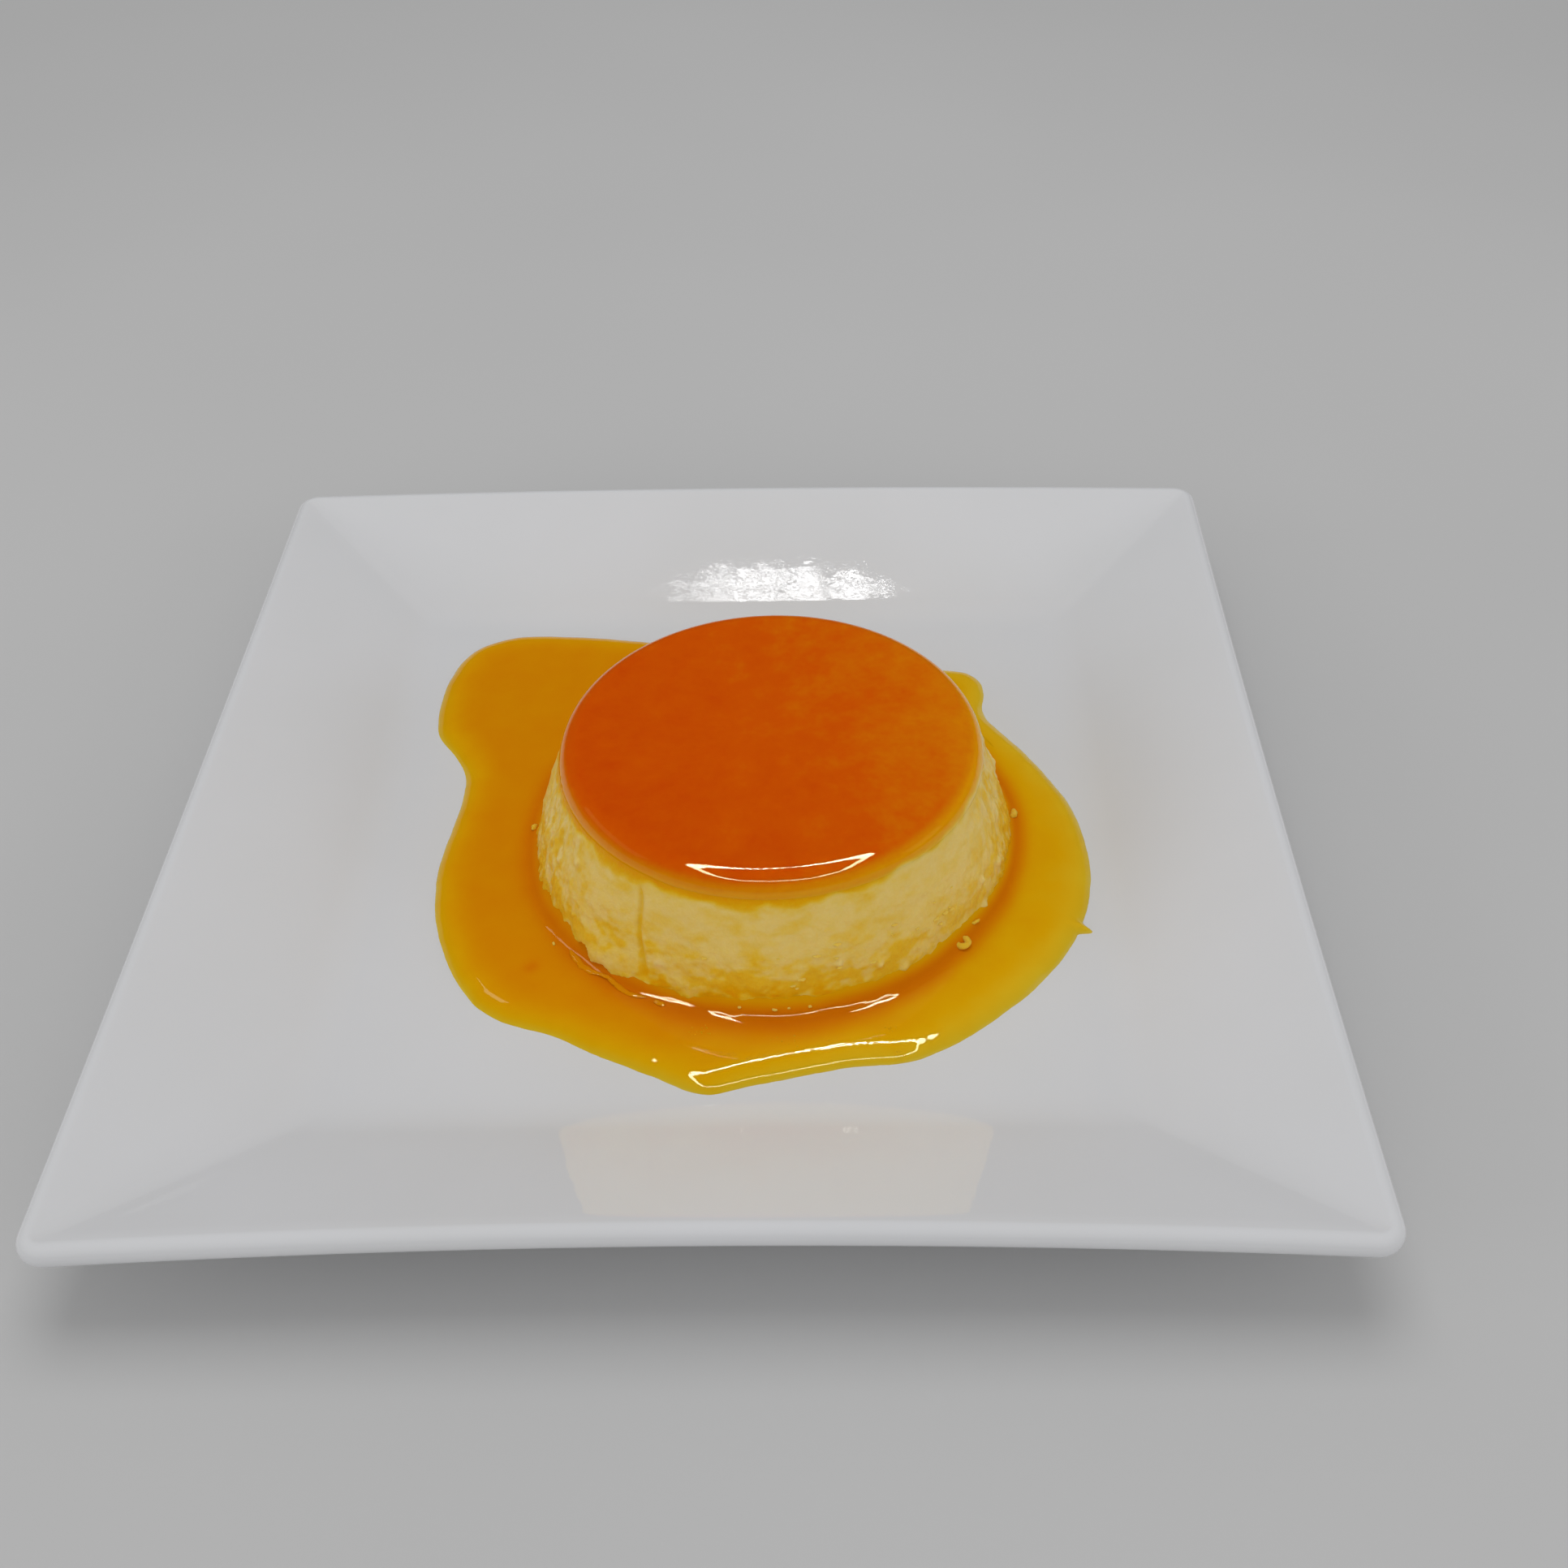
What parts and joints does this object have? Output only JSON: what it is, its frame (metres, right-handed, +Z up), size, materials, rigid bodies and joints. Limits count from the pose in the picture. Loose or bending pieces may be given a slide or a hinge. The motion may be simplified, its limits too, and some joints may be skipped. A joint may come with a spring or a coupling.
{
  "type": "creme caramel flan on a square dessert plate",
  "caption": "Round creme caramel flan with a glossy caramel top, in a spreading pool of caramel sauce on a square white dessert plate with a sloping rim.",
  "frame": {"origin": "on the table under the middle of the plate", "axes": "+Z up, +X to the plate's right and +Y to its far side, with the flan standing a little right of the middle"},
  "size_m": [0.2, 0.2, 0.0312],
  "materials": {
    "porcelain": "glossy white glaze",
    "custard": "moist baked custard, soft sheen",
    "caramel_top": "wet caramel-soaked custard, mirror-like sheen",
    "caramel_sauce": "clear liquid caramel, glossy"
  },
  "bodies": {
    "root": {"plate": "porcelain", "custard": "custard", "caramel_top": "caramel_top", "caramel_sauce": "caramel_sauce"}
  },
  "joints": []
}
